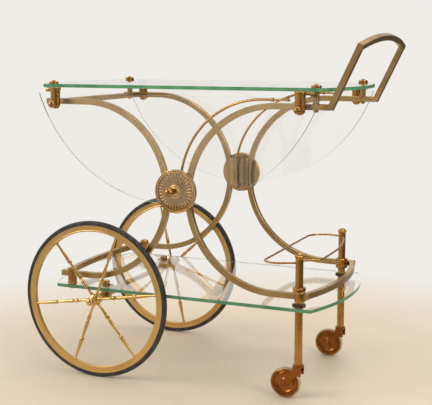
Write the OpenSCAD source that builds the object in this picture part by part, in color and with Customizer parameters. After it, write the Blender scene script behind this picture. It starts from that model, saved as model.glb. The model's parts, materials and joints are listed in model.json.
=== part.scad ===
// Dessert trolley: brass and glass serving cart with two large spoked wheels,
// two casters, a glass top with two drop leaves, and a glass shelf below.
// Millimetres. X runs along the trolley, with the handle at +X.
// Y runs across it and Z is up. The floor is Z = 0.
// Every part on the near side is drawn at -Y, and the far one is its mirror image.

/* [Side frames] */
// Side of the square brass bar
bar = 13.5; // [9:0.5:15]
// Small chamfer along the edges of the bar
bar_chamfer = 1; // [0.4:0.2:1.6]
// Radius of the two half-circle bends, to the middle of the bar
arc_r = 210.75; // [195:0.75:225]
// Distance between the two bends where they come closest, middle to middle
arc_gap = 54; // [46:1:64]
// From the middle of the trolley to the middle of a side frame
frame_y = 192; // [181:1:197]
// Height of the lower rail's middle above the shelf glass
rail_lift = 26.5; // [24:0.5:36]
// End of the upper rail's left stub, from the medallion
top_stub_x = 346; // [343:1:352]
// End of the lower rail's left stub, from the medallion
low_stub_x = 317; // [316:1:324]
// Outward bow of the lower left crossbar
left_bow = 16; // [8:1:24]
// Outward bow of the lower right crossbar
right_bow = 31; // [24:1:38]

/* [Glass] */
// Thickness of the glass top
top_t = 8; // [6:0.5:10]
// Half the length of the glass top at its corners
top_half_x = 352; // [346:1:358]
// Half the width of the glass top
top_half_y = 203; // [201:0.5:205]
// Outward bow of each end of the glass top
top_bow = 40; // [20:1:50]
// Thickness of the shelf glass
shelf_t = 8; // [6:0.5:10]
// Half the length of the shelf glass at its corners
shelf_half_x = 327; // [322:1:335]
// Half the width of the shelf glass
shelf_half_y = 203; // [200:0.5:205]
// Outward bow of each end of the shelf glass
shelf_bow = 42; // [25:1:50]
// Thickness of a drop leaf
leaf_t = 6; // [5:0.5:8]
// Half the length of a leaf's straight edge
leaf_half_x = 349; // [340:1:356]
// Depth of a leaf, from its straight edge to its lowest point
leaf_depth = 249; // [240:1:256]

/* [Glass clamps and leaf hinges] */
// Distance of the clamps from the medallion
clamp_x = 330; // [329:1:332]
// Height of a clamp between rail and glass
clamp_h = 26.25; // [24:0.25:32]
// Diameter of the clamp's spacer
spacer_d = 14; // [12:0.5:18]
// Diameter of the clamp screw
clamp_screw_d = 6; // [4:0.5:7]
// Diameter of the disc on the glass
clamp_disc_d = 23; // [20:0.5:24]
// Height of the hinge ear
ear_h = 10; // [9:0.5:11]
// Thickness of the hinge ear along the trolley
ear_t = 8; // [5:0.5:10]
// From the side frame to the hinge pin, across the trolley
hinge_out = 25; // [24:0.5:27]
// Diameter of the hinge pin
hinge_pin_d = 5; // [4:0.25:5.5]
// Distance of the leaf clips from the medallion
clip_x = 305; // [300:1:306]
// Diameter of the round leaf clip
clip_d = 23.5; // [22:0.5:25]
// Diameter of the lip at the top of the clip
clip_lip_d = 26; // [25:0.5:27]
// Length of the leaf clip
clip_len = 51; // [45:1:56]
// From the hinge pin out to the middle of the leaf
leaf_out = 8; // [8:0.25:9]
// From the hinge pin down to the leaf's straight edge
leaf_drop = 8; // [8:0.5:11]
// Diameter of the ball-headed clip screw
ball_d = 18; // [15:0.5:20]
// Diameter of the leaf's ball knob
knob_d = 20; // [16:0.5:24]
// Height of the knob above the lowest point of the leaf
knob_up = 31; // [28:1:36]

/* [Medallions and leaf supports] */
// Height of a medallion above the middle of the bends
medallion_up = 10; // [0:1:14]
// Diameter of a medallion
medallion_d = 103; // [96:1:110]
// Thickness of a medallion's field
medallion_t = 8; // [6:0.5:9]
// Diameter of the boss in the middle of a medallion
boss_d = 24; // [20:1:28]
// Height of the boss
boss_h = 12; // [11:0.5:13]
// Number of rays on a medallion
rays = 32; // [24:1:40]
// Diameter of the plate behind the bends
back_d = 98; // [92:1:104]
// Thickness of the plate behind the bends
back_t = 4; // [3:0.5:5]
// Width of the pivot housing
housing_w = 44; // [36:1:50]
// Height of the pivot housing
housing_h = 84; // [76:1:90]
// Depth of the pivot housing
housing_t = 5; // [4:0.5:6]
// Diameter of the support arm's rod
arm_d = 6; // [5:0.5:6]
// Bend radius of the support arm
arm_bend_r = 210; // [200:1:215]
// Reach of the support arm from its pivot
arm_reach = 272; // [262:1:280]
// Angle of the resting arm, outward from the length of the trolley
arm_yaw = 4.2; // [2:0.1:4.8]

/* [Handle] */
// From the corner of the glass top to the corner of rail and handle
handle_gap = 12; // [8:1:18]
// Lean of the handle from upright
handle_lean = 25.5; // [20:0.5:30]
// Length of a handle arm
handle_len = 143; // [120:1:160]
// Rise of the arched grip over its corners
grip_rise = 24; // [12:1:32]

/* [Wheels] */
// Diameter of a wheel with its tyre
wheel_d = 385; // [375:1:395]
// Distance of the axle from the medallion
axle_x = 213.5; // [205:0.5:220]
// From the middle of the trolley to the middle of a wheel
wheel_y = 214; // [212.5:0.5:216]
// Thickness of the tyre along the radius
tyre_t = 10.5; // [8:0.5:13]
// Width of the tyre
tyre_w = 13; // [10:0.5:13]
// Height of the rim along the radius
rim_t = 15; // [12:0.5:18]
// Width of the rim
rim_w = 11; // [9:0.5:11]
// Number of spokes
spokes = 6; // [5:1:8]
// Angle of the near wheel's first spoke
spoke_turn = 9; // [0:1:59]
// Angle of the far wheel's first spoke
far_spoke_turn = 42; // [0:1:59]
// Diameter of the hub
hub_d = 27; // [24:0.5:30]
// Length of the hub
hub_len = 30; // [24:1:32]
// Diameter of the axle
axle_d = 12; // [10:0.5:13]
// Diameter of the collars on the axle
axle_collar_d = 20; // [18:0.5:22]
// Diameter of the ball nuts on the ends of the axle
axle_cap_d = 20; // [18:0.5:22]
// Drop of the axle below the shelf glass
axle_drop = 19.5; // [19.5:0.5:24]
// From the middle of the trolley to an axle bracket
bracket_y = 160; // [130:1:170]
// Diameter of the bracket screws' heads on the shelf glass
bracket_head_d = 18; // [16:0.5:26]

/* [Legs and casters] */
// Distance of legs and shelf posts from the medallion
leg_x = 290; // [286:1:292]
// Outer diameter of a leg
leg_d = 18; // [16:0.5:20]
// Wall of the leg's tube
leg_wall = 2; // [1.5:0.25:2.5]
// Diameter of the collar that joins leg and rail
collar_d = 30; // [28:0.5:32]
// Height of the collar
collar_h = 24; // [20:0.5:28]
// From the rail's middle down to the collar's lower end
collar_drop = 9; // [7:0.5:12]
// Diameter of the collar's domed screw
collar_screw_d = 8; // [6:0.5:9]
// Height of the leg above the shelf glass
leg_up = 105; // [98:1:112]
// Diameter of the finial
finial_d = 23; // [21:0.5:28]
// Height of the finial
finial_h = 15; // [13:0.5:18]
// Diameter of the dark washers on the shelf glass
washer_d = 31; // [28:0.5:34]
// Diameter of the shelf posts
post_d = 24; // [20:0.5:24]
// Diameter of a caster wheel with its tyre
caster_d = 71; // [62:1:74]
// Width of a caster tyre
caster_w = 16; // [12:0.5:18]
// Thickness of the caster tyre along the radius
caster_tyre_t = 3.2; // [2.4:0.2:5]
// Height of the caster yoke's sides under its top
yoke_h = 19; // [14:1:24]
// Distance of the caster wheel behind its swivel
caster_trail = 30; // [26:1:36]
// Clear height between caster wheel and yoke
caster_gap = 4; // [3:0.5:8]
// Diameter of the caster's stem
stem_d = 8; // [7:0.5:9]
// Depth of the stem's socket in the leg
socket_len = 34; // [30:1:40]

/* [Bottle gallery] */
// Diameter of the gallery wires
wire_d = 4.75; // [3:0.25:5]
// Reach of the inner wire from the legs, towards the middle of the trolley
gallery_in = 84; // [80:1:95]
// Radius of the inner wire's near corner
near_corner_r = 30; // [26:1:40]
// From the middle of the trolley to the middle of the inner wire's near corner
near_corner_y = 162; // [152:1:166]
// Radius of the inner wire's far corner, which is bent wider
far_corner_r = 46; // [30:1:50]
// From the middle of the trolley to the middle of the inner wire's far corner
far_corner_y = 140; // [136:1:160]
// Reach of the outer wire from the legs, towards the handle
gallery_out = 42; // [36:1:46]
// Radius of the outer wire's near corner
outer_corner_r = 24; // [18:1:30]
// From the middle of the trolley to the middle of the outer wire's near corner
outer_corner_y = 128; // [120:1:140]
// From the middle of the trolley to the start of the outer wire's long bow
outer_bow_y = 40; // [20:1:60]

/* [Fits] */
// Radial running clearance of pins and axles
run_fit = 0.05; // [0.02:0.01:0.08]
// Clearance between seated pieces of the same assembly
seat_fit = 0.1; // [0.05:0.05:0.3]
// Clearance of a bar coped round a post
cope_fit = 0.3; // [0.2:0.05:0.5]
// Clearance between moving pieces that nearly touch
move_gap = 0.4; // [0.3:0.1:0.8]

/* [Hidden] */

$fn = 96;
NEAR = -1;
FAR = 1;
LEFT = -1;
RIGHT = 1;
huge = 1200;

// Colours, as they look in daylight
aged_brass = [0.50, 0.38, 0.22];
warm_brass = [0.68, 0.48, 0.22];
bright_brass = [0.80, 0.64, 0.30];
rim_brass = [0.78, 0.62, 0.32];
clear_glass = [0.72, 0.86, 0.78, 0.35];
black_rubber = [0.07, 0.07, 0.07];
dark_fibre = [0.13, 0.09, 0.07];
cream_rubber = [0.80, 0.72, 0.52];
copper_brass = [0.45, 0.26, 0.11];

// Heights, from the floor up
axle_z = wheel_d / 2;
shelf_z = axle_z + axle_drop;
shelf_top = shelf_z + shelf_t;
low_z = shelf_top + rail_lift;
arc_z = low_z + arc_r;
top_z = arc_z + arc_r;
glass_z = top_z + bar / 2 + clamp_h;
glass_top = glass_z + top_t;
hinge_z = glass_z - ear_h / 2;
medallion_z = arc_z + medallion_up;

// Places along and across the trolley
arc_x = arc_gap / 2 + arc_r;
hinge_y = frame_y + hinge_out;
leaf_y = hinge_y + leaf_out;
leg_y = frame_y - bar / 2 - collar_d / 2;
right_end_x = leg_x + collar_d / 2 + bar;
handle_x = top_half_x + handle_gap;
face_y = frame_y + bar / 2;
inner_y = frame_y - bar / 2;

// The part's middle, so that the origin lies under the middle of its box
handle_out = (handle_len + grip_rise) * sin(handle_lean)
    + (bar / 2 - bar_chamfer) * sin(handle_lean) + bar / 2 * cos(handle_lean);
x_mid = (handle_x + handle_out - axle_x - wheel_d / 2) / 2;

// ---- Shared shapes ----

// Puts a near-side shape in place, mirrored when it belongs to the far side
module at_side(side) {
    translate([-x_mid, 0, 0])
        mirror([0, side == FAR ? 1 : 0, 0])
            children();
}

// Both sides at once
module on_both_sides() {
    for (side = [NEAR, FAR])
        at_side(side) children();
}

// A shape drawn along +Z that points outward, to -Y
module outward() {
    rotate([90, 0, 0]) children();
}

// Outline of the square bar with its chamfered edges
module bar_outline() {
    h = bar / 2;
    c = bar_chamfer;
    polygon([[h, h - c], [h - c, h], [c - h, h], [-h, h - c],
             [-h, c - h], [c - h, -h], [h - c, -h], [h, c - h]]);
}

// A straight bar along X between two places
module bar_along_x(from_x, to_x) {
    translate([from_x, 0, 0])
        rotate([90, 0, 90])
            linear_extrude(to_x - from_x) bar_outline();
}

// Radius of a circle through the two ends of a chord and its bow
function bow_radius(half_chord, bow) = (half_chord * half_chord + bow * bow) / (2 * bow);

// A washer or disc with a bore
module ring(d_out, d_in, h) {
    difference() {
        cylinder(d = d_out, h = h);
        translate([0, 0, -1]) cylinder(d = d_in, h = h + 2);
    }
}

// A turned solid: pairs of [radius, height], closed on the axis
module turned(points) {
    last = points[len(points) - 1];
    rotate_extrude()
        polygon(concat([[0, points[0][1]]], points, [[0, last[1]]]));
}

// A disc with a rounded upper edge
module button(d, h, round_r) {
    steps = 6;
    edge = [for (i = [0 : steps])
        let (a = 90 * i / steps)
        [d / 2 - round_r + round_r * cos(a), h - round_r + round_r * sin(a)]];
    turned(concat([[d / 2, 0]], edge));
}

// ---- Side frames ----

// Half circle of bar in the side frame's plane, open towards -X
module bend() {
    rotate([90, 0, 0])
        rotate([0, 0, -90])
            rotate_extrude(angle = 180, $fn = 180)
                translate([arc_r, 0]) bar_outline();
}

// Hole for a clamp screw through the upper rail
module rail_hole(x) {
    translate([x, 0, -bar])
        cylinder(d = clamp_screw_d + 2 * seat_fit, h = 2 * bar, $fn = 32);
}

// Left bend with its two tails, which run on as short stubs
module left_arc(side) {
    color(aged_brass)
    at_side(side)
    translate([0, -frame_y, 0]) {
        translate([-arc_x, 0, arc_z]) bend();
        translate([0, 0, top_z])
            difference() {
                bar_along_x(-top_stub_x, -arc_x);
                rail_hole(-clamp_x);
            }
        translate([0, 0, low_z]) bar_along_x(-low_stub_x, -arc_x);
    }
}

// Right bend: its upper tail ends in the handle's mitre, its lower one at the leg
module right_arc(side) {
    color(aged_brass)
    at_side(side)
    translate([0, -frame_y, 0]) {
        translate([arc_x, 0, arc_z]) mirror([1, 0, 0]) bend();
        intersection() {
            translate([0, 0, top_z])
                difference() {
                    bar_along_x(arc_x, handle_x + bar);
                    rail_hole(clamp_x);
                }
            handle_mitre(below = true);
        }
        translate([0, 0, low_z]) bar_along_x(arc_x, right_end_x);
    }
}

// Half space on one side of the mitre between rail and handle
module handle_mitre(below) {
    translate([handle_x, 0, top_z])
        rotate([0, -(90 - handle_lean) / 2, 0])
            translate([below ? -huge : 0, -huge / 2, -huge / 2])
                cube([huge, huge, huge]);
}

// Straight crossbar between the upper rails, at the leaf clips
module top_left_crossbar() {
    color(aged_brass)
    at_side(NEAR)
        translate([-clip_x, 0, top_z])
            rotate([0, 0, 90])
                bar_along_x(-inner_y, inner_y);
}

// A crossbar bowed towards +X between the two side frames
module bowed_crossbar(end_x, bow) {
    r = bow_radius(inner_y, bow);
    half_angle = asin(inner_y / r);
    translate([end_x + bow - r, 0, low_z])
        intersection() {
            rotate([0, 0, -half_angle - 2])
                rotate_extrude(angle = 2 * half_angle + 4, $fn = 360)
                    translate([r, 0]) bar_outline();
            translate([0, -inner_y, -bar]) cube([huge, 2 * inner_y, 2 * bar]);
        }
}

// Lower left crossbar, coped round the shelf posts
module lower_left_crossbar() {
    color(aged_brass)
    at_side(NEAR)
        difference() {
            mirror([1, 0, 0]) bowed_crossbar(leg_x + post_d / 2 + bar / 4, left_bow);
            for (side = [NEAR, FAR])
                translate([-leg_x, side * frame_y, low_z - bar])
                    cylinder(d = post_d + 2 * cope_fit, h = 2 * bar);
        }
}

// Lower right crossbar, which passes outside the legs
module lower_right_crossbar() {
    color(aged_brass)
    at_side(NEAR) bowed_crossbar(right_end_x - bar / 2, right_bow);
}

// ---- Handle ----

grip_r = bow_radius(frame_y, grip_rise);

// Puts a shape drawn in the XY plane into the handle's leaning plane:
// its X runs across the trolley and its Y up the handle.
module in_handle_plane() {
    translate([handle_x, 0, top_z])
        rotate([0, handle_lean, 0])
            rotate([90, 0, 90])
                children();
}

// Two leaning arms, mitred to the rails and cut to the underside of the grip
module handle_arms() {
    color(aged_brass)
    on_both_sides()
        intersection() {
            in_handle_plane()
                translate([-frame_y, 0, 0])
                    rotate([-90, 0, 0])
                        translate([0, 0, -bar])
                            linear_extrude(handle_len + 2 * bar) bar_outline();
            handle_mitre(below = false);
            in_handle_plane()
                translate([0, handle_len + grip_rise - grip_r, -bar])
                    cylinder(r = grip_r - bar / 2 - seat_fit, h = 2 * bar, $fn = 360);
        }
}

// Arched grip across the tops of the arms
module handle_grip() {
    half_angle = asin(face_y / grip_r);
    color(aged_brass)
    at_side(NEAR)
        in_handle_plane()
            intersection() {
                translate([0, handle_len + grip_rise - grip_r, 0])
                    rotate([0, 0, 90 - half_angle - 2])
                        rotate_extrude(angle = 2 * half_angle + 4, $fn = 360)
                            translate([grip_r, 0]) bar_outline();
                translate([-face_y, 0, -bar]) cube([2 * face_y, huge, 2 * bar]);
            }
}

// ---- Medallions and leaf supports ----

// One ray: a fine rib that swells to a long bead near the rim
module ray(from_r, to_r) {
    len_r = to_r - from_r;
    girth = medallion_d / 103;
    shape = [
        [0.6, 0], [0.8, 0.3], [1.3, 0.46], [2.1, 0.56], [2.6, 0.66], [2.7, 0.8],
        [2.4, 0.92], [1.5, 1]];
    translate([from_r, 0, 0])
        rotate([0, 90, 0])
            rotate_extrude($fn = 24)
                polygon(concat([[0, 0]], [for (p = shape) [p[0] * girth, p[1] * len_r]],
                               [[0, len_r]]));
}

// Cast disc with a double rim, a sunburst of beaded rays and a stepped boss
module medallion(side) {
    r = medallion_d / 2;
    b = boss_d / 2;
    t = medallion_t;
    floor_h = t - 2.2;
    color(warm_brass)
    at_side(side)
    translate([0, -face_y, medallion_z])
    outward() {
        turned([
            [r - 1, 0], [r, 1], [r, t - 1], [r - 0.5, t + 0.5], [r - 1.6, t + 1],
            [r - 2.7, t + 0.5], [r - 3.4, t - 0.6], [r - 4.1, t], [r - 5, t + 1.2],
            [r - 6.2, t + 1.6], [r - 7.4, t + 0.6], [r - 8, floor_h],
            [b + 5, floor_h], [b + 4, t - 0.6], [b + 2.6, t], [b + 0.6, t - 0.4],
            [b, t + 0.4], [b - 0.4, boss_h - 2.6], [b - 1.6, boss_h - 1.4],
            [b - 3.4, boss_h - 0.5], [b - 5, boss_h]]);
        for (i = [0 : rays - 1])
            rotate([0, 0, 360 * i / rays])
                translate([0, 0, floor_h])
                    ray(b + 7, r - 8.6);
    }
}

// Round plate behind each pair of bends, with the spacer between the bends
module medallion_backs() {
    color(aged_brass)
    on_both_sides()
        translate([0, -inner_y + back_t, medallion_z])
            outward() {
                cylinder(d = back_d, h = back_t);
                cylinder(d = arc_gap - bar - 8, h = back_t + bar, $fn = 64);
            }
}

eye_reach = 5;
pivot_y = inner_y - back_t - housing_t - eye_reach;
eye_h = 8;
eye_d = 13;
housing_top = medallion_z + housing_h / 2 - 2;
housing_low = housing_top - housing_h;
eye_low = housing_low + 10;
eye_high = housing_top - eye_h - 1;

// Faceted pivot housing with a pointed foot and the two eyes of the spindle
module arm_housing() {
    w = housing_w / 2;
    facet = housing_t * 1.6;
    back_y = -inner_y + back_t;
    front_y = back_y + housing_t;
    difference() {
        union() {
            intersection() {
                translate([0, 0, housing_low])
                    linear_extrude(housing_h)
                        polygon([[-w, back_y], [w, back_y], [w, back_y + 1],
                                 [w - facet, front_y], [facet - w, front_y],
                                 [-w, back_y + 1]]);
                translate([0, 0, housing_low])
                    rotate([90, 0, 0])
                        linear_extrude(huge, center = true)
                            polygon([[0, 0], [w + 1, 15], [w + 1, housing_h + 1],
                                     [-w - 1, housing_h + 1], [-w - 1, 15]]);
            }
            for (z = [eye_low, eye_high])
                translate([0, -pivot_y, z]) {
                    cylinder(d = eye_d, h = eye_h, $fn = 64);
                    translate([-eye_d / 2, -eye_reach, 0]) cube([eye_d, eye_reach, eye_h]);
                }
        }
        translate([0, -pivot_y, housing_low - 20])
            cylinder(r = arm_d / 2 + run_fit, h = housing_h + 60, $fn = 64);
    }
}

module arm_housings() {
    color(aged_brass)
    on_both_sides() arm_housing();
}

// Where the button of a raised leaf's knob comes to rest on the arm's pad
button_len = leaf_y - leaf_t / 2 - face_y - boss_h - move_gap;
pad_top = hinge_z + leaf_out - leaf_t / 2 - button_len - move_gap;
arm_z = glass_z - 19.5;
bend_z = arm_z - arm_bend_r;
spindle_top = eye_high + eye_h + 3;
bend_x = sqrt(pow(arm_bend_r, 2) - pow(spindle_top - bend_z, 2));
bend_start = acos(bend_x / arm_bend_r);

// Support arm: spindle, long bend that follows the side frame, and thin tip
module support_arm(side) {
    tip_d = arm_d - 1.4;
    collar_r = arm_reach - 40;
    spindle_low = eye_low - 6;
    color(warm_brass)
    at_side(side)
    translate([0, -pivot_y, 0])
    rotate([0, 0, -arm_yaw]) {
        translate([0, 0, spindle_low])
            cylinder(d = arm_d, h = spindle_top - spindle_low, $fn = 48);
        translate([0, 0, eye_high + eye_h + move_gap])
            cylinder(d = arm_d + 4, h = 5.5, $fn = 48);
        translate([bend_x, 0, bend_z])
            rotate([90, 0, 0])
                rotate([0, 0, 90])
                    rotate_extrude(angle = 90 - bend_start, $fn = 180)
                        translate([arm_bend_r, 0]) circle(d = arm_d, $fn = 48);
        translate([bend_x, 0, arm_z])
            rotate([0, 90, 0])
                cylinder(d = arm_d, h = collar_r - bend_x, $fn = 48);
        translate([collar_r - 4, 0, arm_z])
            rotate([0, 90, 0])
                cylinder(d = arm_d + 2.4, h = 5, $fn = 48);
        translate([collar_r, 0, arm_z])
            rotate([0, 90, 0])
                cylinder(d = tip_d, h = arm_reach - collar_r, $fn = 48);
        translate([arm_reach - 6, 0, arm_z - 3])
            cylinder(d = 8, h = pad_top - arm_z + 3, $fn = 48);
    }
}

// ---- Glass ----

// Plate with straight sides and two bowed ends
module bowed_plate(half_x, half_y, bow, t) {
    r = bow_radius(half_y, bow);
    linear_extrude(t)
        intersection() {
            square([2 * (half_x + bow) + 2, 2 * half_y], center = true);
            translate([half_x + bow - r, 0]) circle(r = r, $fn = 360);
            translate([r - half_x - bow, 0]) circle(r = r, $fn = 360);
        }
}

module top_glass() {
    color(clear_glass)
    at_side(NEAR)
    difference() {
        translate([0, 0, glass_z]) bowed_plate(top_half_x, top_half_y, top_bow, top_t);
        for (x = [-clamp_x, clamp_x], y = [-frame_y, frame_y])
            translate([x, y, glass_z - 1])
                cylinder(d = clamp_screw_d + 1, h = top_t + 2, $fn = 32);
    }
}

module lower_glass() {
    color(clear_glass)
    at_side(NEAR)
    difference() {
        translate([0, 0, shelf_z])
            bowed_plate(shelf_half_x, shelf_half_y, shelf_bow, shelf_t);
        for (side = [NEAR, FAR]) {
            translate([leg_x, side * leg_y, shelf_z - 1])
                cylinder(d = leg_d + 1, h = shelf_t + 2, $fn = 48);
            translate([-leg_x, side * frame_y, shelf_z - 1])
                cylinder(d = post_stud_d + 1, h = shelf_t + 2, $fn = 48);
            translate([-axle_x, side * bracket_y, shelf_z - 1])
                cylinder(d = bracket_screw_d + 1, h = shelf_t + 2, $fn = 48);
        }
    }
}

leaf_r = bow_radius(leaf_half_x, leaf_depth);
leaf_edge_z = hinge_z - leaf_drop;
leaf_low_z = leaf_edge_z - leaf_depth;
ball_z = hinge_z - 33;
knob_z = leaf_low_z + knob_up;
clip_screw_d = 7;

// Half-moon drop leaf, drilled for its two clips and its knob
module leaf_glass(side) {
    color(clear_glass)
    at_side(side)
    difference() {
        translate([0, -leaf_y + leaf_t / 2, leaf_low_z + leaf_r])
            outward()
                linear_extrude(leaf_t)
                    intersection() {
                        circle(r = leaf_r, $fn = 360);
                        translate([-leaf_half_x, -leaf_r - 1])
                            square([2 * leaf_half_x, leaf_depth + 1]);
                    }
        for (hole = [[-clip_x, ball_z], [clip_x, ball_z], [0, knob_z]])
            translate([hole[0], -leaf_y + leaf_t, hole[1]])
                outward() cylinder(d = clip_screw_d + 1, h = 2 * leaf_t, $fn = 32);
    }
}

// ---- Glass clamps and leaf hinges ----

// Places a shape at each of the four clamps
module at_clamps() {
    on_both_sides()
        for (x = [-clamp_x, clamp_x])
            translate([x, -frame_y, 0]) children();
}

// Flat disc with a small dome, and the screw under it
module clamp_screws() {
    color(warm_brass)
    at_clamps() {
        translate([0, 0, glass_top]) {
            button(clamp_disc_d, 5.5, 1.6);
            translate([0, 0, 5.5]) button(10, 3.5, 3.4);
        }
        translate([0, 0, top_z - bar / 2 - nut_grip])
            cylinder(d = clamp_screw_d, h = glass_top - top_z + bar / 2 + nut_grip, $fn = 32);
    }
}

module clamp_spacers() {
    color(aged_brass)
    at_clamps()
        translate([0, 0, top_z + bar / 2])
            ring(spacer_d, clamp_screw_d + 2 * seat_fit, clamp_h - ear_h);
}

nut_grip = 3.6;

// Domed nuts under the rails
module clamp_nuts() {
    color(warm_brass)
    at_clamps()
        translate([0, 0, top_z - bar / 2])
            mirror([0, 0, 1])
                difference() {
                    button(clamp_screw_d + 4.5, nut_grip + 2, 3);
                    translate([0, 0, -1])
                        cylinder(d = clamp_screw_d + 2 * seat_fit,
                                 h = nut_grip + 1 + seat_fit, $fn = 32);
                }
}

// Ear between clamp and hinge pin: a boss under the glass, an arm and an eye
module hinge_ears() {
    color(aged_brass)
    at_clamps()
        translate([0, 0, glass_z - ear_h])
            difference() {
                union() {
                    cylinder(d = spacer_d, h = ear_h);
                    translate([-ear_t / 2, -hinge_out, 0]) cube([ear_t, hinge_out, ear_h]);
                    translate([-ear_t / 2, -hinge_out, ear_h / 2])
                        rotate([0, 90, 0]) cylinder(d = ear_h, h = ear_t, $fn = 48);
                }
                translate([0, 0, -1])
                    cylinder(d = clamp_screw_d + 2 * seat_fit, h = ear_h + 2, $fn = 32);
                translate([-ear_t, -hinge_out, ear_h / 2])
                    rotate([0, 90, 0])
                        cylinder(d = hinge_pin_d + seat_fit, h = 2 * ear_t, $fn = 48);
            }
}

pin_start = clip_x - sqrt(pow(clip_d / 2, 2) - pow(leaf_out, 2));
pin_end = clamp_x + ear_t / 2 + 2;

// Pins along the trolley, with a small head outside the ear
module hinge_pins() {
    color(warm_brass)
    on_both_sides()
        for (mirrored = [0, 1])
            mirror([mirrored, 0, 0])
                translate([pin_start, -hinge_y, hinge_z])
                    rotate([0, 90, 0]) {
                        cylinder(d = hinge_pin_d, h = pin_end - pin_start, $fn = 48);
                        translate([0, 0, clamp_x + ear_t / 2 - pin_start])
                            button(hinge_pin_d + 1.4, 2.6, 1.2);
                    }
}

// Places a shape at a leaf's two clips
module at_clips(side) {
    at_side(side)
        for (x = [-clip_x, clip_x])
            translate([x, -leaf_y, 0]) children();
}

clip_top = hinge_z + 6;
clip_seat = 9;
clip_lip_h = 4;

// Round clip with a lip and a domed foot, slotted for the glass, bored for the pin
module leaf_clips(side) {
    color(warm_brass)
    at_clips(side)
        difference() {
            union() {
                translate([0, 0, clip_top - clip_len + clip_d / 2])
                    cylinder(d = clip_d, h = clip_len - clip_d / 2 - 1);
                translate([0, 0, clip_top - clip_lip_h])
                    button(clip_lip_d, clip_lip_h, 1.4);
                translate([0, 0, clip_top - clip_len + clip_d / 2]) sphere(d = clip_d);
            }
            translate([-clip_d, -leaf_t / 2 - seat_fit, clip_top - clip_len - 1])
                cube([2 * clip_d, leaf_t + 2 * seat_fit,
                      clip_len + 2 + leaf_edge_z - clip_top]);
            translate([-clip_d, leaf_out, hinge_z])
                rotate([0, 90, 0])
                    cylinder(r = hinge_pin_d / 2 + run_fit, h = 2 * clip_d, $fn = 64);
            translate([0, clip_d, ball_z])
                outward() cylinder(d = clip_screw_d + 2 * seat_fit, h = 2 * clip_d, $fn = 32);
            translate([0, -clip_seat, ball_z])
                outward() cylinder(d = ball_d + 1, h = clip_d);
        }
}

// Ball-headed screws that pinch the clips on the glass
module clip_screws(side) {
    color(warm_brass)
    at_clips(side) {
        translate([0, 0, ball_z])
            outward() {
                intersection() {
                    translate([0, 0, clip_seat + ball_d / 2 - 1]) sphere(d = ball_d);
                    translate([0, 0, clip_seat]) cylinder(d = ball_d + 1, h = ball_d);
                }
                translate([0, 0, 1 - clip_d / 2])
                    cylinder(d = clip_screw_d, h = clip_d / 2 + clip_seat, $fn = 32);
            }
    }
}

// Ball knob through the leaf, with the button that meets the medallion
module leaf_knob(side) {
    face = leaf_t / 2;
    collar = 1.6;
    color(warm_brass)
    at_side(side)
    translate([0, -leaf_y, knob_z])
    outward() {
        translate([0, 0, face]) {
            button(15, collar, 0.6);
            cylinder(d = 8, h = 8, $fn = 48);
            translate([0, 0, knob_d / 2 + 4]) sphere(d = knob_d);
        }
        translate([0, 0, -face - 1])
            cylinder(d = clip_screw_d, h = leaf_t + 2, $fn = 32);
        translate([0, 0, -face])
            mirror([0, 0, 1]) {
                button(15, collar, 0.6);
                button(12, button_len, 2.5);
            }
    }
}

// ---- Lower shelf: posts, legs, washers ----

post_stud_d = 8;
post_nut_d = 15;
washer_t = 2;
post_h = rail_lift + 15;

// Short posts that carry the lower rails' left ends on the shelf
module shelf_posts() {
    r = post_d / 2;
    color(warm_brass)
    on_both_sides()
        translate([-leg_x, -frame_y, 0]) {
            difference() {
                translate([0, 0, shelf_top])
                    turned([
                        [r, 0], [r, 3], [r - 1.2, 4.2], [r - 1.2, post_h - 6],
                        [r - 0.4, post_h - 5], [r - 0.8, post_h - 3],
                        [r - 3.5, post_h - 0.8], [r - 6.5, post_h]]);
                translate([-post_d, -bar / 2 - seat_fit, low_z - bar / 2 - seat_fit])
                    cube([2 * post_d, bar + 2 * seat_fit, bar + 2 * seat_fit]);
            }
            translate([0, 0, shelf_z - 2])
                cylinder(d = post_stud_d, h = shelf_t + 4, $fn = 48);
            translate([0, 0, shelf_z])
                mirror([0, 0, 1]) button(post_nut_d, 3, 1.5);
        }
}

cheek_t = 2.5;
caster_top = caster_d + caster_gap + cheek_t;
socket_flange = 3;
leg_bottom = caster_top + socket_flange;
leg_top = shelf_top + leg_up;
pin_hole_z = leg_bottom + 25;

// Leg: a tube from the caster's socket to the finial
module leg(side) {
    color(warm_brass)
    at_side(side)
    translate([leg_x, -leg_y, 0])
        difference() {
            translate([0, 0, leg_bottom]) cylinder(d = leg_d, h = leg_top - leg_bottom);
            translate([0, 0, leg_bottom - 1])
                cylinder(d = leg_d - 2 * leg_wall, h = leg_top - leg_bottom + 2);
            translate([0, leg_d, pin_hole_z])
                outward() cylinder(d = 3, h = leg_d, $fn = 32);
        }
}

finial_plug = 10;

// Turned finial: a flared cup with a domed top, plugged into the leg
module leg_finials() {
    r = finial_d / 2;
    h = finial_h;
    color(warm_brass)
    on_both_sides()
        translate([leg_x, -leg_y, leg_top]) {
            turned([
                [leg_d / 2, 0], [leg_d / 2 + 0.2, 0.08 * h], [r - 1.6, 0.34 * h],
                [r - 0.4, 0.44 * h], [r, 0.52 * h], [r - 0.3, 0.6 * h],
                [r - 1.6, 0.65 * h], [r - 2.8, 0.66 * h], [r - 3.4, 0.72 * h],
                [r - 5.2, 0.86 * h], [r - 8, 0.96 * h], [r - 11, h]]);
            translate([0, 0, -finial_plug])
                cylinder(d = leg_d - 2 * leg_wall - 2 * seat_fit, h = finial_plug + 1,
                         $fn = 48);
        }
}

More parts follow.
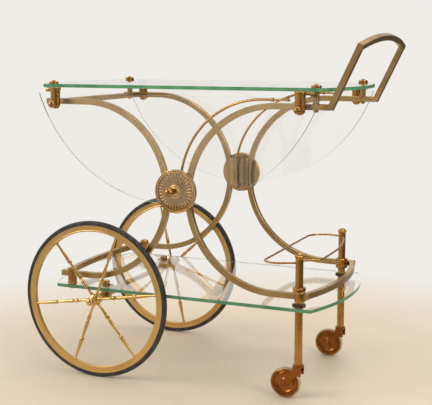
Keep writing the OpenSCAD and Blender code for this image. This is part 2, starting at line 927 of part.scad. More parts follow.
// Waisted collars that join each leg to the lower rail, with a domed screw in front
module leg_collars() {
    r = collar_d / 2;
    h = collar_h;
    color(warm_brass)
    on_both_sides()
        translate([leg_x, -leg_y, low_z - collar_drop]) {
            difference() {
                turned([
                    [r - 1, 0], [r, 1], [r, 0.27 * h], [r - 0.8, 0.31 * h],
                    [r - 3, 0.36 * h], [r - 3, 0.58 * h], [r - 0.8, 0.64 * h],
                    [r, 0.68 * h], [r, h - 1.5], [r - 1.4, h]]);
                translate([0, 0, -1])
                    cylinder(d = leg_d + 2 * seat_fit, h = h + 2);
                translate([-collar_d, -2 * r + seat_fit - r, -1])
                    cube([2 * collar_d, 2 * r, h + 2]);
            }
            rotate([0, 0, 15])
                translate([0, 2 - r, collar_drop + bar / 2 + collar_screw_d / 2 + 0.5])
                    outward() button(collar_screw_d, 4.6, 2.8);
        }
}

// Dark washers on both faces of the shelf glass, round the legs
module shelf_washers() {
    color(dark_fibre)
    on_both_sides()
        for (z = [shelf_top, shelf_z - washer_t])
            translate([leg_x, -leg_y, z]) ring(washer_d, leg_d + 2 * seat_fit, washer_t);
}

// ---- Bottle gallery ----

outer_wire_z = leg_top - wire_d / 2 - 0.5;
inner_wire_z = outer_wire_z - wire_d;

// Rounded corner of wire and the straight link from it to a leg.
// The leg stands at the origin and the wire's straight run lies at X = -reach.
module wire_corner(r, reach, mid_y) {
    dx = reach - r;
    dy = leg_y - mid_y;
    span = norm([dx, dy]);
    turn = atan2(dy, dx) + acos(r / span);
    link = sqrt(span * span - r * r) - leg_d / 3;
    translate([-dx, dy, 0]) {
        rotate([0, 0, 180])
            rotate_extrude(angle = 180 - turn)
                translate([r, 0]) circle(d = wire_d, $fn = 32);
        rotate([0, 0, -turn])
            translate([r, 0, 0]) {
                sphere(d = wire_d + 0.8, $fn = 48);
                rotate([-90, 0, 0]) cylinder(d = wire_d, h = link, $fn = 32);
            }
    }
}

// Straight wire along the trolley's width, between two places
module wire_run(x, from_y, to_y) {
    translate([x, from_y, 0])
        rotate([-90, 0, 0]) cylinder(d = wire_d, h = to_y - from_y, $fn = 32);
}

// Inner wire: a straight run with two rounded corners
module inner_wire() {
    translate([leg_x, -leg_y, 0])
        wire_corner(near_corner_r, gallery_in, near_corner_y);
    translate([leg_x, leg_y, 0])
        mirror([0, 1, 0]) wire_corner(far_corner_r, gallery_in, far_corner_y);
    wire_run(leg_x - gallery_in, -near_corner_y, far_corner_y);
}

// Outer wire: a tight near corner, a straight run and a long bow to the far leg
module outer_wire() {
    r = bow_radius(leg_y + outer_bow_y, gallery_out);
    translate([leg_x, -leg_y, 0])
        mirror([1, 0, 0]) wire_corner(outer_corner_r, gallery_out, outer_corner_y);
    wire_run(leg_x + gallery_out, -outer_corner_y, -outer_bow_y);
    translate([leg_x + gallery_out - r, -outer_bow_y, 0])
        rotate_extrude(angle = asin((leg_y + outer_bow_y - leg_d / 3) / r), $fn = 360)
            translate([r, 0]) circle(d = wire_d, $fn = 32);
}

// Two bent wires that keep bottles on the shelf, both ended on the legs
module bottle_gallery() {
    color(warm_brass)
    translate([-x_mid, 0, 0])
    difference() {
        union() {
            translate([0, 0, inner_wire_z]) inner_wire();
            translate([0, 0, outer_wire_z]) outer_wire();
        }
        for (side = [NEAR, FAR])
            translate([leg_x, side * leg_y, inner_wire_z - wire_d])
                cylinder(d = leg_d + 2 * seat_fit, h = 3 * wire_d);
    }
}

// ---- Axle and wheels ----

bracket_w = 34;
bracket_t = 16;
bracket_screw_d = 7;
hub_in = wheel_y - hub_len * 0.55;
hub_out = hub_in + hub_len;
rim_out = wheel_d / 2 - tyre_t;
rim_in = rim_out - rim_t;

module axle() {
    color(aged_brass)
    at_side(NEAR)
        translate([-axle_x, hub_out + 6, axle_z])
            outward() cylinder(d = axle_d, h = 2 * hub_out + 12);
}

// Hangers under the shelf glass, with a rounded foot and the axle's bore
module axle_brackets() {
    color(aged_brass)
    on_both_sides()
        translate([-axle_x, -bracket_y + bracket_t / 2, axle_z])
            outward()
                difference() {
                    union() {
                        translate([-bracket_w / 2, axle_drop - 6, 0])
                            cube([bracket_w, 6, bracket_t]);
                        translate([-11, 0, 0]) cube([22, axle_drop - 1, bracket_t]);
                        cylinder(d = 22, h = bracket_t);
                    }
                    translate([0, 0, -1])
                        cylinder(d = axle_d + seat_fit, h = bracket_t + 2);
                    translate([0, axle_drop + 1, bracket_t / 2])
                        rotate([90, 0, 0])
                            cylinder(d = bracket_screw_d + 2 * seat_fit,
                                     h = axle_drop - axle_d / 2 - 1, $fn = 32);
                }
}

// Screws with flat round heads on top of the shelf glass
module bracket_screws() {
    screw_len = shelf_t + axle_drop - axle_d / 2 - 4;
    color(warm_brass)
    on_both_sides()
        translate([-axle_x, -bracket_y, shelf_top]) {
            button(bracket_head_d, 8, 1.2);
            translate([0, 0, -screw_len])
                cylinder(d = bracket_screw_d, h = screw_len + 1, $fn = 32);
        }
}

// Collars on the axle, inside each hub
module axle_collars() {
    color(warm_brass)
    on_both_sides()
        translate([-axle_x, -hub_in + 6 + move_gap, axle_z])
            outward() ring(axle_collar_d, axle_d + seat_fit, 6);
}

// Ball nuts on the ends of the axle
module axle_caps() {
    r = axle_cap_d / 2;
    color(bright_brass)
    on_both_sides()
        translate([-axle_x, -hub_out - move_gap, axle_z])
            outward()
                difference() {
                    union() {
                        turned([[r, 0], [r + 0.5, 1], [r + 0.5, 2.5], [r - 2, 4],
                                [r - 3, 5.5], [r - 3, 8]]);
                        translate([0, 0, r + 1]) sphere(r = r);
                    }
                    translate([0, 0, -1])
                        cylinder(d = axle_d + seat_fit, h = 7 + seat_fit, $fn = 48);
                    translate([0, 0, -20]) cylinder(d = 40, h = 20);
                }
}

// Puts a shape into a wheel's middle plane, drawn round its Z axis
module at_wheel(side) {
    at_side(side)
        translate([-axle_x, -wheel_y, axle_z])
            outward() children();
}

// Solid rubber tyre with a round tread
module tyre(side) {
    r = wheel_d / 2;
    w = tyre_w / 2;
    steps = 8;
    tread = [for (i = [0 : steps])
        let (a = -90 + 180 * i / steps)
        [r - w * 0.7 + w * 0.7 * cos(a), w * sin(a)]];
    color(black_rubber)
    at_wheel(side)
        rotate_extrude($fn = 180)
            polygon(concat([[rim_out + seat_fit, w - 1], [rim_out + seat_fit, 1 - w]], tread));
}

// Rim: a deep flat ring with rolled edges
module rim(side) {
    w = rim_w / 2;
    color(rim_brass)
    at_wheel(side)
        rotate_extrude($fn = 180)
            polygon([
                [rim_out, -w], [rim_out, w], [rim_out - 1.4, w], [rim_out - 2, w - 0.8],
                [rim_out - 3.2, w - 1], [rim_in + 3.6, w - 1], [rim_in + 2.6, w - 0.6],
                [rim_in + 0.8, w - 0.6], [rim_in, w - 1.4],
                [rim_in, 1.4 - w], [rim_in + 0.8, 0.6 - w], [rim_in + 2.6, 0.6 - w],
                [rim_in + 3.6, 1 - w], [rim_out - 3.2, 1 - w], [rim_out - 2, 0.8 - w],
                [rim_out - 1.4, -w]]);
}

// Turned baluster spokes: two long tapers, each ending in a bead
module wheel_spokes(side, turn) {
    foot = hub_d / 2 - 1.2;
    span = rim_in - foot;
    profile = [
        [4.2, 0], [4.2, 0.02], [3.4, 0.06], [2.8, 0.10], [3.0, 0.16], [4.0, 0.215],
        [5.2, 0.245], [5.2, 0.262], [4.0, 0.285], [3.1, 0.30], [4.4, 0.325],
        [4.6, 0.35], [4.2, 0.40], [3.5, 0.47], [3.0, 0.54], [2.8, 0.59], [3.6, 0.605],
        [5.0, 0.625], [5.3, 0.645], [4.8, 0.665], [4.4, 0.70], [3.9, 0.78],
        [3.2, 0.88], [2.7, 0.95], [2.7, 0.965], [3.8, 0.975], [3.8, 1]];
    color(bright_brass)
    at_wheel(side)
        intersection() {
            for (i = [0 : spokes - 1])
                rotate([0, 0, turn + 360 * i / spokes])
                    translate([foot, 0, 0])
                        rotate([0, 90, 0])
                            turned([for (p = profile) [p[0], p[1] * (span + 1)]]);
            difference() {
                cylinder(r = rim_in - seat_fit, h = 40, center = true, $fn = 180);
                cylinder(d = hub_d + 2 * seat_fit, h = 50, center = true);
            }
        }
}

// Hub: a turned barrel with stepped ends, bored for the axle
module hub(side) {
    r = hub_d / 2;
    color(bright_brass)
    at_side(side)
        translate([-axle_x, -hub_in, axle_z])
            outward()
                difference() {
                    turned([
                        [r - 3.5, 0], [r - 3.2, 2.5], [r - 1.2, 3.5], [r - 0.8, 6], [r, 7],
                        [r, hub_len - 7], [r - 0.8, hub_len - 6], [r - 1.4, hub_len - 4],
                        [r - 3.2, hub_len - 3], [r - 3.5, hub_len]]);
                    translate([0, 0, -1])
                        cylinder(r = axle_d / 2 + run_fit, h = hub_len + 2);
                }
}

// ---- Casters ----

caster_x = leg_x - caster_trail;
yoke_len = 20;
cheek_y = caster_w / 2 + 2;
caster_pin_d = 6;

// Socket in the foot of each leg, with its flange below
module caster_sockets() {
    bore = stem_d / 2 + run_fit;
    sleeve = leg_d / 2 - leg_wall - seat_fit;
    color(warm_brass)
    on_both_sides()
        translate([leg_x, -leg_y, caster_top])
            difference() {
                union() {
                    cylinder(d = leg_d + 7.5, h = socket_flange);
                    cylinder(r = sleeve, h = socket_len);
                }
                translate([0, 0, -1]) cylinder(r = bore, h = socket_len + 2);
            }
}

// Side of the yoke: an upright flank under the crown and a slanting arm to the pin
module yoke_cheek() {
    crown = yoke_len / 2;
    arm = 6.5;
    top_y = caster_top - cheek_t - caster_d / 2;
    slant = atan2(top_y - yoke_h / 2, caster_trail);
    linear_extrude(cheek_t)
        difference() {
            union() {
                circle(r = arm, $fn = 48);
                polygon([
                    [-arm * sin(slant), arm * cos(slant)],
                    [arm * sin(slant), -arm * cos(slant)],
                    [caster_trail, top_y - yoke_h], [caster_trail + crown, top_y - yoke_h],
                    [caster_trail + crown, top_y], [caster_trail - crown, top_y],
                    [caster_trail - crown, top_y - 5]]);
            }
            circle(d = caster_pin_d + seat_fit, $fn = 48);
        }
}

// Yoke: stem, crown plate and two sides that trail to the pin
module caster_yoke(side) {
    reach = cheek_y + cheek_t;
    color(copper_brass)
    at_side(side) {
        translate([leg_x, -leg_y, caster_top]) cylinder(d = stem_d, h = socket_len - 2, $fn = 64);
        translate([leg_x - yoke_len / 2, -leg_y - reach, caster_top - cheek_t])
            cube([yoke_len, 2 * reach, cheek_t]);
        for (y = [-reach, cheek_y])
            translate([caster_x, -leg_y + y + cheek_t, caster_d / 2])
                outward() yoke_cheek();
    }
}

// Pin of the caster wheel, with two domed heads
module caster_pin(side) {
    reach = cheek_y + cheek_t;
    color(bright_brass)
    at_side(side)
        translate([caster_x, -leg_y, caster_d / 2])
            outward() {
                cylinder(d = caster_pin_d, h = 2 * reach, center = true, $fn = 64);
                for (up = [0, 1])
                    mirror([0, 0, up])
                        translate([0, 0, reach]) button(11, 3, 2.6);
            }
}

caster_rim_r = caster_d / 2 - caster_tyre_t;

// Dished wheel with a rolled rim, a stepped dish and a hub, bored for the pin
module caster_wheel(side) {
    w = caster_w / 2;
    r = caster_rim_r;
    upper = [
        [r, w - 2], [r - 0.4, w - 0.8], [r - 1.6, w], [r - 3, w - 0.3],
        [r - 4.2, w - 1.6], [r - 5.2, w - 3.6], [r - 7, w - 4.2], [r - 8.4, w - 3.4],
        [r - 10, w - 3.6], [r - 13, w - 5.4], [10.5, 2.2], [8.6, 3.4], [7.8, w],
        [6.8, w + 1.4], [caster_pin_d / 2 + run_fit, w + 1.4]];
    lower = [for (i = [len(upper) - 1 : -1 : 0]) [upper[i][0], -upper[i][1]]];
    color(copper_brass)
    at_side(side)
        translate([caster_x, -leg_y, caster_d / 2])
            outward()
                rotate_extrude() polygon(concat(upper, lower));
}

// Cream tyre of a caster wheel: a thin band with round shoulders
module caster_tyre(side) {
    r = caster_d / 2;
    w = caster_w / 2 - 0.6;
    inner = caster_rim_r + seat_fit;
    color(cream_rubber)
    at_side(side)
        translate([caster_x, -leg_y, r])
            outward()
                rotate_extrude()
                    polygon([
                        [inner, 1.8 - w], [inner + 0.8, 0.4 - w], [r - 1.4, 0.8 - w],
                        [r - 0.4, 2.4 - w], [r, 4.4 - w], [r, w - 4.4], [r - 0.4, w - 2.4],
                        [r - 1.4, w - 0.8], [inner + 0.8, w - 0.4], [inner, w - 1.8]]);
}

left_arc(NEAR);  // near_left_arc
left_arc(FAR);  // far_left_arc
right_arc(NEAR);  // near_right_arc
right_arc(FAR);  // far_right_arc
handle_arms();
handle_grip();
medallion(NEAR);  // near_medallion
medallion(FAR);  // far_medallion
medallion_backs();
arm_housings();
top_left_crossbar();
lower_left_crossbar();
lower_right_crossbar();
top_glass();
clamp_screws();
clamp_spacers();
clamp_nuts();
hinge_ears();
hinge_pins();
lower_glass();
shelf_posts();
leg(NEAR);  // near_leg
leg(FAR);  // far_leg
leg_finials();
leg_collars();
shelf_washers();
bottle_gallery();
caster_sockets();
axle();
axle_brackets();
bracket_screws();
axle_collars();
axle_caps();
tyre(NEAR);  // near_tyre
rim(NEAR);  // near_rim
wheel_spokes(NEAR, spoke_turn);  // near_spokes
hub(NEAR);  // near_hub
tyre(FAR);  // far_tyre
rim(FAR);  // far_rim
wheel_spokes(FAR, far_spoke_turn);  // far_spokes
hub(FAR);  // far_hub
leaf_glass(NEAR);  // near_leaf_glass
leaf_clips(NEAR);  // near_leaf_clips
clip_screws(NEAR);  // near_clip_screws
leaf_knob(NEAR);  // near_leaf_knob
leaf_glass(FAR);  // far_leaf_glass
leaf_clips(FAR);  // far_leaf_clips
clip_screws(FAR);  // far_clip_screws
leaf_knob(FAR);  // far_leaf_knob
support_arm(NEAR);  // near_support_arm
support_arm(FAR);  // far_support_arm
caster_yoke(NEAR);  // near_caster_yoke
caster_pin(NEAR);  // near_caster_pin
caster_wheel(NEAR);  // near_caster_wheel
caster_tyre(NEAR);  // near_caster_tyre
caster_yoke(FAR);  // far_caster_yoke
caster_pin(FAR);  // far_caster_pin
caster_wheel(FAR);  // far_caster_wheel
caster_tyre(FAR);  // far_caster_tyre
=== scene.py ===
"""Dessert trolley of brass and glass: finishes, small trim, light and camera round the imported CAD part."""

import json
import math

import bpy
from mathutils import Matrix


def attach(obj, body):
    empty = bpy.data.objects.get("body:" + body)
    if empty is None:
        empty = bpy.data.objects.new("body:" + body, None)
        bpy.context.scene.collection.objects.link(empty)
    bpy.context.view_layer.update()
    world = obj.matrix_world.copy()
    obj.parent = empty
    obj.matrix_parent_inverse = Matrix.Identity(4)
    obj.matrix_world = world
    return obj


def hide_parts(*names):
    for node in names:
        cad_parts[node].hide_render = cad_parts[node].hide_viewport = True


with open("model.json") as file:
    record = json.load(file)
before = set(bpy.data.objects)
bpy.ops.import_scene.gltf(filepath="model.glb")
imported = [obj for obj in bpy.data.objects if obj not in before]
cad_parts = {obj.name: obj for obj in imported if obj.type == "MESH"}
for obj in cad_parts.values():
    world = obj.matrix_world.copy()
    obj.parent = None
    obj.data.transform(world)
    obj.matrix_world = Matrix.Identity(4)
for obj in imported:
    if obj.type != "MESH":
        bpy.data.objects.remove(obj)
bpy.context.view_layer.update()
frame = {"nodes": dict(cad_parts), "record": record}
nodes = frame["nodes"]

MM = 0.001
SIDES = ("near", "far")
OUTWARD = {"near": -1.0, "far": 1.0}
MIDDLE_X = -19.2316 * MM


# ---- Bench tools ----


def deselect_everything():
    if bpy.context.object and bpy.context.object.mode != "OBJECT":
        bpy.ops.object.mode_set(mode="OBJECT")
    bpy.ops.object.select_all(action="DESELECT")


def fit_finish(piece, finish):
    """Gives a piece one finish in every material slot it has."""
    if not piece.data.materials:
        piece.data.materials.append(finish)
    for number in range(len(piece.material_slots)):
        piece.material_slots[number].material = finish


def start_from(piece_name):
    """Names the primitive that was just added and bakes its place, turn and size into its mesh."""
    piece = bpy.context.object
    piece.name = piece_name
    piece.data.name = piece_name
    bpy.ops.object.transform_apply(location=True, rotation=True, scale=True)
    return piece


def pick(piece):
    """Makes one piece the only one selected, and the one worked on."""
    deselect_everything()
    piece.select_set(True)
    bpy.context.view_layer.objects.active = piece


def round_edges(piece, width, segments=3):
    """Rounds every sharp edge of a piece."""
    pick(piece)
    rounding = piece.modifiers.new("rounding", "BEVEL")
    rounding.width = width
    rounding.segments = segments
    rounding.limit_method = "ANGLE"
    rounding.angle_limit = math.radians(35.0)
    bpy.ops.object.modifier_apply(modifier=rounding.name)


def cut_away(piece, place, size):
    """Cuts a square opening out of a piece."""
    deselect_everything()
    bpy.ops.mesh.primitive_cube_add(size=1.0, location=place)
    cutter = bpy.context.object
    cutter.scale = size
    pick(piece)
    cut = piece.modifiers.new("cut", "BOOLEAN")
    cut.operation = "DIFFERENCE"
    cut.object = cutter
    bpy.ops.object.modifier_apply(modifier=cut.name)
    bpy.data.objects.remove(cutter)


def slice_off(piece, point, normal):
    """Cuts a piece along a plane, drops what lies on the normal's side and closes the cut."""
    pick(piece)
    bpy.ops.object.mode_set(mode="EDIT")
    bpy.ops.mesh.select_all(action="SELECT")
    bpy.ops.mesh.bisect(plane_co=point, plane_no=normal, use_fill=True, clear_outer=True)
    bpy.ops.object.mode_set(mode="OBJECT")


def join_pieces(pieces):
    """Joins pieces into the first one."""
    deselect_everything()
    for piece in pieces:
        piece.select_set(True)
    bpy.context.view_layer.objects.active = pieces[0]
    bpy.ops.object.join()
    return pieces[0]


def smooth_faces(piece):
    """Smooth shading on round faces, crisp at the edges."""
    pick(piece)
    bpy.ops.object.shade_smooth_by_angle(angle=math.radians(32.0))


# ---- Finishes ----


def new_finish(name):
    """An empty finish with its shader, and the object's own coordinates to hang patterns on."""
    finish = bpy.data.materials.new(name)
    finish.use_nodes = True
    tree = finish.node_tree
    shader = tree.nodes["Principled BSDF"]
    place = tree.nodes.new("ShaderNodeTexCoord")
    return finish, tree, shader, place.outputs["Object"]


def mottle(tree, place, size, detail=5.0, roughness=0.55):
    """Cloudy pattern whose patches are about 1/size metres across."""
    noise = tree.nodes.new("ShaderNodeTexNoise")
    noise.inputs["Scale"].default_value = size
    noise.inputs["Detail"].default_value = detail
    noise.inputs["Roughness"].default_value = roughness
    tree.links.new(place, noise.inputs["Vector"])
    return noise.outputs["Fac"]


def spread(tree, value, low, high, to_low=0.0, to_high=1.0):
    """Maps a pattern's middle range to the range wanted."""
    ranger = tree.nodes.new("ShaderNodeMapRange")
    ranger.inputs["From Min"].default_value = low
    ranger.inputs["From Max"].default_value = high
    ranger.inputs["To Min"].default_value = to_low
    ranger.inputs["To Max"].default_value = to_high
    tree.links.new(value, ranger.inputs["Value"])
    return ranger.outputs["Result"]


def larger_of(tree, first, second):
    """The larger of two values."""
    node = tree.nodes.new("ShaderNodeMath")
    node.operation = "MAXIMUM"
    tree.links.new(first, node.inputs[0])
    tree.links.new(second, node.inputs[1])
    return node.outputs["Value"]


def blend_colours(tree, amount, first, second):
    """Mixes two colours, or a colour and an earlier mix, by a pattern."""
    mix = tree.nodes.new("ShaderNodeMix")
    mix.data_type = "RGBA"
    tree.links.new(amount, mix.inputs["Factor"])
    for number, colour in ((6, first), (7, second)):
        if isinstance(colour, tuple):
            mix.inputs[number].default_value = (*colour, 1.0)
        else:
            tree.links.new(colour, mix.inputs[number])
    return mix.outputs[2]


def relief(tree, shader, height, strength, depth):
    """Fine surface relief from a pattern."""
    bump = tree.nodes.new("ShaderNodeBump")
    bump.inputs["Strength"].default_value = strength
    bump.inputs["Distance"].default_value = depth
    tree.links.new(height, bump.inputs["Height"])
    tree.links.new(bump.outputs["Normal"], shader.inputs["Normal"])


def brass(name, bright, dull, tarnish, spotting, gloss_rough, dull_rough, sunk_field_tone=None):
    """Brass with cloudy ageing, tarnish spots, worn and dull patches, and a fine unevenness.

    The last argument gives a darker colour for the sunk field of a casting, with the distances from the
    trolley's middle, across it, at which the darkening starts, is full, and ends.
    """
    finish, tree, shader, place = new_finish(name)
    clouds = spread(tree, mottle(tree, place, 14.0), 0.36, 0.68)
    colour = blend_colours(tree, clouds, bright, dull)
    spots = spread(tree, mottle(tree, place, 70.0, 6.0, 0.6), 0.66 - spotting, 0.80)
    colour = blend_colours(tree, spots, colour, tarnish)
    # Darker colour on the sunk field of a casting, set by depth across the trolley.
    if sunk_field_tone:
        depth = tree.nodes.new("ShaderNodeSeparateXYZ")
        tree.links.new(place, depth.inputs["Vector"])
        out = tree.nodes.new("ShaderNodeMath")
        out.operation = "ABSOLUTE"
        tree.links.new(depth.outputs["Y"], out.inputs[0])
        sunk_colour, start, full, end = sunk_field_tone
        behind = spread(tree, out.outputs["Value"], start, full, 1.0, 0.0)
        proud = spread(tree, out.outputs["Value"], full, end)
        colour = blend_colours(tree, larger_of(tree, behind, proud), sunk_colour, colour)
    tree.links.new(colour, shader.inputs["Base Color"])
    wear = mottle(tree, place, 40.0, 5.0, 0.6)
    tree.links.new(spread(tree, wear, 0.3, 0.72, gloss_rough, dull_rough), shader.inputs["Roughness"])
    shader.inputs["Metallic"].default_value = 1.0
    relief(tree, shader, mottle(tree, place, 420.0, 3.0), 0.06, 0.0002)
    return finish


def rubber(name, clean, worn, rough_low, rough_high, grain):
    """Solid rubber with scuffs, dust in its pores and a fine grain."""
    finish, tree, shader, place = new_finish(name)
    scuffs = spread(tree, mottle(tree, place, 45.0, 6.0, 0.7), 0.45, 0.75)
    tree.links.new(blend_colours(tree, scuffs, clean, worn), shader.inputs["Base Color"])
    patches = mottle(tree, place, 30.0)
    tree.links.new(
        spread(tree, patches, 0.35, 0.68, rough_low, rough_high), shader.inputs["Roughness"]
    )
    relief(tree, shader, mottle(tree, place, grain, 4.0), 0.25, 0.0003)
    return finish


def plate_glass(name, face_axis):
    """Clear glass with a green polished edge. face_axis is the axis square to the plate: X, Y or Z."""
    finish, tree, shader, place = new_finish(name)
    normal = tree.nodes.new("ShaderNodeTexCoord")
    parts = tree.nodes.new("ShaderNodeSeparateXYZ")
    tree.links.new(normal.outputs["Normal"], parts.inputs["Vector"])
    upright = tree.nodes.new("ShaderNodeMath")
    upright.operation = "ABSOLUTE"
    tree.links.new(parts.outputs[face_axis], upright.inputs[0])
    edge = spread(tree, upright.outputs["Value"], 0.75, 0.45)
    waves = spread(tree, mottle(tree, place, 26.0, 4.0), 0.35, 0.65)
    green = blend_colours(tree, waves, (0.10, 0.33, 0.14), (0.19, 0.46, 0.24))
    tree.links.new(
        blend_colours(tree, edge, (0.99, 0.993, 0.983), green), shader.inputs["Base Color"]
    )
    tree.links.new(spread(tree, edge, 0.0, 1.0, 1.0, 0.35), shader.inputs["Transmission Weight"])
    smudges = mottle(tree, place, 9.0, 6.0, 0.6)
    tree.links.new(spread(tree, smudges, 0.5, 0.8, 0.0, 0.05), shader.inputs["Roughness"])
    shader.inputs["IOR"].default_value = 1.45
    relief(tree, shader, mottle(tree, place, 6.0, 2.0), 0.02, 0.001)
    return finish


aged_brass = brass(
    "aged_brass", (0.52, 0.34, 0.145), (0.38, 0.235, 0.095), (0.16, 0.095, 0.04), 0.02, 0.24, 0.40
)
warm_brass = brass(
    "warm_brass", (0.52, 0.27, 0.075), (0.38, 0.19, 0.048), (0.17, 0.08, 0.022), 0.0, 0.20, 0.36
)
polished_brass = brass(
    "polished_brass", (0.74, 0.49, 0.18), (0.55, 0.34, 0.11), (0.24, 0.12, 0.035), 0.0, 0.08, 0.20
)
rim_brass = brass(
    "rim_brass", (0.72, 0.46, 0.165), (0.62, 0.38, 0.125), (0.34, 0.20, 0.07), 0.0, 0.30, 0.46
)
copper_brass = brass(
    "copper_brass", (0.36, 0.125, 0.030), (0.23, 0.074, 0.017), (0.11, 0.04, 0.012), 0.0, 0.18, 0.38
)
# The medallions are darker on their sunk field, between the rays.
cast_brass = brass(
    "cast_brass", (0.62, 0.40, 0.165), (0.49, 0.30, 0.11), (0.26, 0.14, 0.055), 0.0, 0.28, 0.42,
    sunk_field_tone=((0.33, 0.195, 0.09), 203.0 * MM, 204.4 * MM, 206.6 * MM),
)
tyre_rubber = rubber(
    "tyre_rubber", (0.020, 0.019, 0.021), (0.070, 0.064, 0.060), 0.48, 0.75, 900.0
)
caster_rubber = rubber(
    "caster_rubber", (0.50, 0.37, 0.18), (0.33, 0.22, 0.10), 0.42, 0.70, 600.0
)
washer_rubber = rubber(
    "washer_rubber", (0.08, 0.06, 0.035), (0.14, 0.10, 0.06), 0.5, 0.8, 1200.0
)
flat_glass = plate_glass("flat_glass", "Z")
leaf_glass = plate_glass("leaf_glass", "Y")

FINISH_OF = {
    "warm_brass": warm_brass,
    "aged_brass": aged_brass,
    "polished_brass": polished_brass,
    "rim_brass": rim_brass,
    "copper_brass": copper_brass,
    "tyre_rubber": tyre_rubber,
    "caster_rubber": caster_rubber,
    "washer_rubber": washer_rubber,
    "clear_glass": flat_glass,
}
for part in frame["record"]["subparts"]:
    fit_finish(nodes[part["node"]], FINISH_OF[part["material_slot"]])
for side in SIDES:
    fit_finish(nodes[side + "_leaf_glass"], leaf_glass)
    fit_finish(nodes[side + "_medallion"], cast_brass)


# ---- Fittings on the bars ----

# Side frames: middle of the bars from the trolley's middle, their width, and the lower rail's height
FRAME_Y = 192.0 * MM
BAR = 13.5 * MM
RAIL_Z = 246.5 * MM

# Saddles on the lower rails. Each lines up with its leg as the photograph shows it
SADDLE_X = {"near": 280.0 * MM, "far": 266.0 * MM}
SADDLE_Z = 245.0 * MM
SADDLE_R = 12.5 * MM
SADDLE_H = 22.0 * MM
SADDLE_ROUNDING = 1.5 * MM
SADDLE_FIT = 0.15 * MM
SADDLE_BACK_GAP = 0.2 * MM
CUT_REACH = 80.0 * MM

# Plates under the pivot housings, and the spacers behind the medallions
PLATE_HALF = 27.5 * MM
PLATE_T = 4.0 * MM
PLATE_TOP_Z = 507.0 * MM
PLATE_SHOULDER_Z = 431.0 * MM
PLATE_TIP_Z = 417.5 * MM
PLATE_ROUNDING = 0.8 * MM
SPACER_R = 16.25 * MM
SPACER_Z = 467.25 * MM
SPACER_ROUNDING = 0.5 * MM


def rail_saddle(side):
    """Round saddle that clasps the lower rail from outside, in front of the leg's collar."""
    middle = (SADDLE_X[side], OUTWARD[side] * FRAME_Y)
    slot = BAR + 2.0 * SADDLE_FIT
    deselect_everything()
    bpy.ops.mesh.primitive_cylinder_add(
        vertices=64, radius=SADDLE_R, depth=SADDLE_H, location=(*middle, SADDLE_Z)
    )
    saddle = start_from("rail_saddle_" + side)
    round_edges(saddle, SADDLE_ROUNDING)
    cut_away(saddle, (*middle, RAIL_Z), (CUT_REACH, slot, slot))
    inner_face = FRAME_Y - BAR / 2.0 + SADDLE_BACK_GAP
    inside = OUTWARD[side] * (inner_face - CUT_REACH / 2.0)
    cut_away(saddle, (SADDLE_X[side], inside, RAIL_Z), (CUT_REACH, CUT_REACH, CUT_REACH))
    smooth_faces(saddle)
    fit_finish(saddle, warm_brass)
    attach(saddle, "frame")


def housing_plate(side):
    """Plate between a pivot housing and the two bends, pointed at its foot, with the bends' spacer."""
    outer_face = FRAME_Y - BAR / 2.0
    deselect_everything()
    bpy.ops.mesh.primitive_cube_add(
        size=1.0,
        location=(
            MIDDLE_X,
            OUTWARD[side] * (outer_face - PLATE_T / 2.0),
            (PLATE_TOP_Z + PLATE_TIP_Z) / 2.0,
        ),
        scale=(2.0 * PLATE_HALF, PLATE_T, PLATE_TOP_Z - PLATE_TIP_Z),
    )
    plate = start_from("housing_plate_" + side)
    rise = PLATE_SHOULDER_Z - PLATE_TIP_Z
    for way in (-1.0, 1.0):
        slice_off(plate, (MIDDLE_X, 0.0, PLATE_TIP_Z), (way * rise, 0.0, -PLATE_HALF))
    round_edges(plate, PLATE_ROUNDING)
    deselect_everything()
    bpy.ops.mesh.primitive_cylinder_add(
        vertices=64,
        radius=SPACER_R,
        depth=BAR,
        location=(MIDDLE_X, OUTWARD[side] * FRAME_Y, SPACER_Z),
        rotation=(math.radians(90.0), 0.0, 0.0),
    )
    spacer = start_from("bend_spacer_" + side)
    round_edges(spacer, SPACER_ROUNDING)
    return join_pieces([plate, spacer])


for side in SIDES:
    rail_saddle(side)
housing_plates = join_pieces([housing_plate(side) for side in SIDES])
housing_plates.name = "housing_plates"
smooth_faces(housing_plates)
fit_finish(housing_plates, aged_brass)
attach(housing_plates, "frame")
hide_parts("medallion_backs")


# ---- Floor, light and camera ----

WALL_TONE = (0.871, 0.847, 0.807)
ROOM_SHADE = (0.13, 0.115, 0.10)
WINDOW_TONE = (0.58, 0.56, 0.52)
TO_THE_WALL = (-0.396, 0.918, 0.0)
TO_THE_WINDOW = (-0.918, -0.396, 0.0)

# The floor is plain to FADE_START from the middle, and gone at FADE_END
FLOOR_SIZE = 60.0
FADE_START = 0.62
FADE_END = 1.15


def reach_along(tree, place, heading, start, end):
    """0 to 1 along a heading, between two distances from the middle."""
    along = tree.nodes.new("ShaderNodeVectorMath")
    along.operation = "DOT_PRODUCT"
    along.inputs[1].default_value = heading
    tree.links.new(place, along.inputs[0])
    return spread(tree, along.outputs["Value"], start, end)


def surroundings(tree, place, size):
    """What is seen beyond the floor: pale all round for the eye and through glass.

    Metal sees the pale wall behind the trolley and the room in front of it darker, both with a
    window on the left and shade on the right. Returns the colour, and 1 for each ray that comes
    from the eye, a reflection or glass.
    """
    path = tree.nodes.new("ShaderNodeLightPath")
    direct = larger_of(tree, path.outputs["Is Camera Ray"], path.outputs["Is Transmission Ray"])
    window_side = reach_along(tree, place, TO_THE_WINDOW, -0.5 * size, 0.9 * size)
    room = blend_colours(tree, window_side, ROOM_SHADE, WINDOW_TONE)
    wall_side = reach_along(tree, place, TO_THE_WALL, -0.2 * size, 0.45 * size)
    lit_side = reach_along(tree, place, TO_THE_WINDOW, -0.85 * size, -0.15 * size)
    mirrored = blend_colours(tree, wall_side, room, WALL_TONE)
    mirrored = blend_colours(tree, lit_side, ROOM_SHADE, mirrored)
    colour = blend_colours(tree, direct, mirrored, WALL_TONE)
    return colour, larger_of(tree, direct, path.outputs["Is Glossy Ray"])


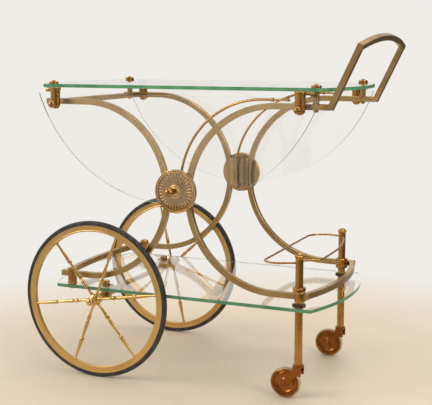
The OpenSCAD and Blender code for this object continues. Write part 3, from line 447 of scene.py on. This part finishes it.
def pale_floor():
    """Wide plain floor that the trolley stands on. It fades into the surroundings further out."""
    deselect_everything()
    bpy.ops.mesh.primitive_plane_add(size=FLOOR_SIZE, location=(0.0, 0.0, 0.0))
    floor = bpy.context.object
    floor.name = "floor"
    finish, tree, shader, place = new_finish("pale_floor")
    clouds = spread(tree, mottle(tree, place, 3.0), 0.35, 0.65)
    tree.links.new(
        blend_colours(tree, clouds, (0.76, 0.625, 0.455), (0.73, 0.595, 0.425)),
        shader.inputs["Base Color"],
    )
    shader.inputs["Roughness"].default_value = 0.5
    colour, seen = surroundings(tree, place, 2.0)
    beyond = tree.nodes.new("ShaderNodeEmission")
    tree.links.new(colour, beyond.inputs["Color"])
    reach = tree.nodes.new("ShaderNodeVectorMath")
    reach.operation = "LENGTH"
    tree.links.new(place, reach.inputs[0])
    faded = tree.nodes.new("ShaderNodeMath")
    faded.operation = "MULTIPLY"
    tree.links.new(spread(tree, reach.outputs["Value"], FADE_START, FADE_END), faded.inputs[0])
    tree.links.new(seen, faded.inputs[1])
    mix = tree.nodes.new("ShaderNodeMixShader")
    tree.links.new(faded.outputs["Value"], mix.inputs["Fac"])
    tree.links.new(shader.outputs["BSDF"], mix.inputs[1])
    tree.links.new(beyond.outputs["Emission"], mix.inputs[2])
    tree.links.new(mix.outputs["Shader"], tree.nodes["Material Output"].inputs["Surface"])
    fit_finish(floor, finish)


def soft_lamp(name, place, aim, width, height, power):
    """Rectangular soft box that looks at a point."""
    lamp = bpy.data.lights.new(name, "AREA")
    lamp.shape = "RECTANGLE"
    lamp.size = width
    lamp.size_y = height
    lamp.energy = power
    holder = bpy.data.objects.new(name, lamp)
    bpy.context.scene.collection.objects.link(holder)
    dx, dy, dz = (aim[i] - place[i] for i in range(3))
    holder.location = place
    holder.rotation_euler = (
        math.atan2(math.hypot(dx, dy), -dz),
        0.0,
        math.atan2(dy, dx) - math.pi / 2,
    )


def room_light():
    """Even pale light from all round, and the surroundings that the eye, metal and glass see."""
    world = bpy.data.worlds.new("room")
    bpy.context.scene.world = world
    world.use_nodes = True
    tree = world.node_tree
    tree.nodes.clear()
    out = tree.nodes.new("ShaderNodeOutputWorld")
    lighting = tree.nodes.new("ShaderNodeBackground")
    lighting.inputs["Color"].default_value = (0.95, 0.96, 1.0, 1.0)
    lighting.inputs["Strength"].default_value = 0.6
    heading = tree.nodes.new("ShaderNodeTexCoord")
    colour, seen = surroundings(tree, heading.outputs["Generated"], 1.0)
    backdrop = tree.nodes.new("ShaderNodeBackground")
    backdrop.inputs["Strength"].default_value = 1.0
    tree.links.new(colour, backdrop.inputs["Color"])
    mix = tree.nodes.new("ShaderNodeMixShader")
    tree.links.new(seen, mix.inputs["Fac"])
    tree.links.new(lighting.outputs["Background"], mix.inputs[1])
    tree.links.new(backdrop.outputs["Background"], mix.inputs[2])
    tree.links.new(mix.outputs["Shader"], out.inputs["Surface"])


def set_camera():
    """The eye point fitted to the photograph: an 82 mm lens from 2.4 m away and 0.79 m up."""
    lens = bpy.data.cameras.new("camera")
    lens.sensor_width = 36.0
    lens.lens = 82.1
    lens.clip_end = 100.0
    holder = bpy.data.objects.new("camera", lens)
    bpy.context.scene.collection.objects.link(holder)
    holder.location = (0.95607, -2.2292, 0.7908)
    holder.rotation_euler = (math.radians(90.0 - 8.84), 0.0, math.radians(23.36))
    bpy.context.scene.camera = holder


pale_floor()
room_light()
soft_lamp("window_lamp", (-2.6, -2.2, 2.4), (0.0, 0.0, 0.4), 1.8, 1.8, 55.0)
soft_lamp("ceiling_lamp", (0.6, 0.4, 3.2), (0.0, 0.0, 0.3), 2.4, 2.0, 45.0)
soft_lamp("side_lamp", (2.8, -1.0, 1.6), (0.0, 0.0, 0.4), 1.0, 1.6, 22.0)
set_camera()
bpy.context.scene.view_settings.view_transform = "Standard"
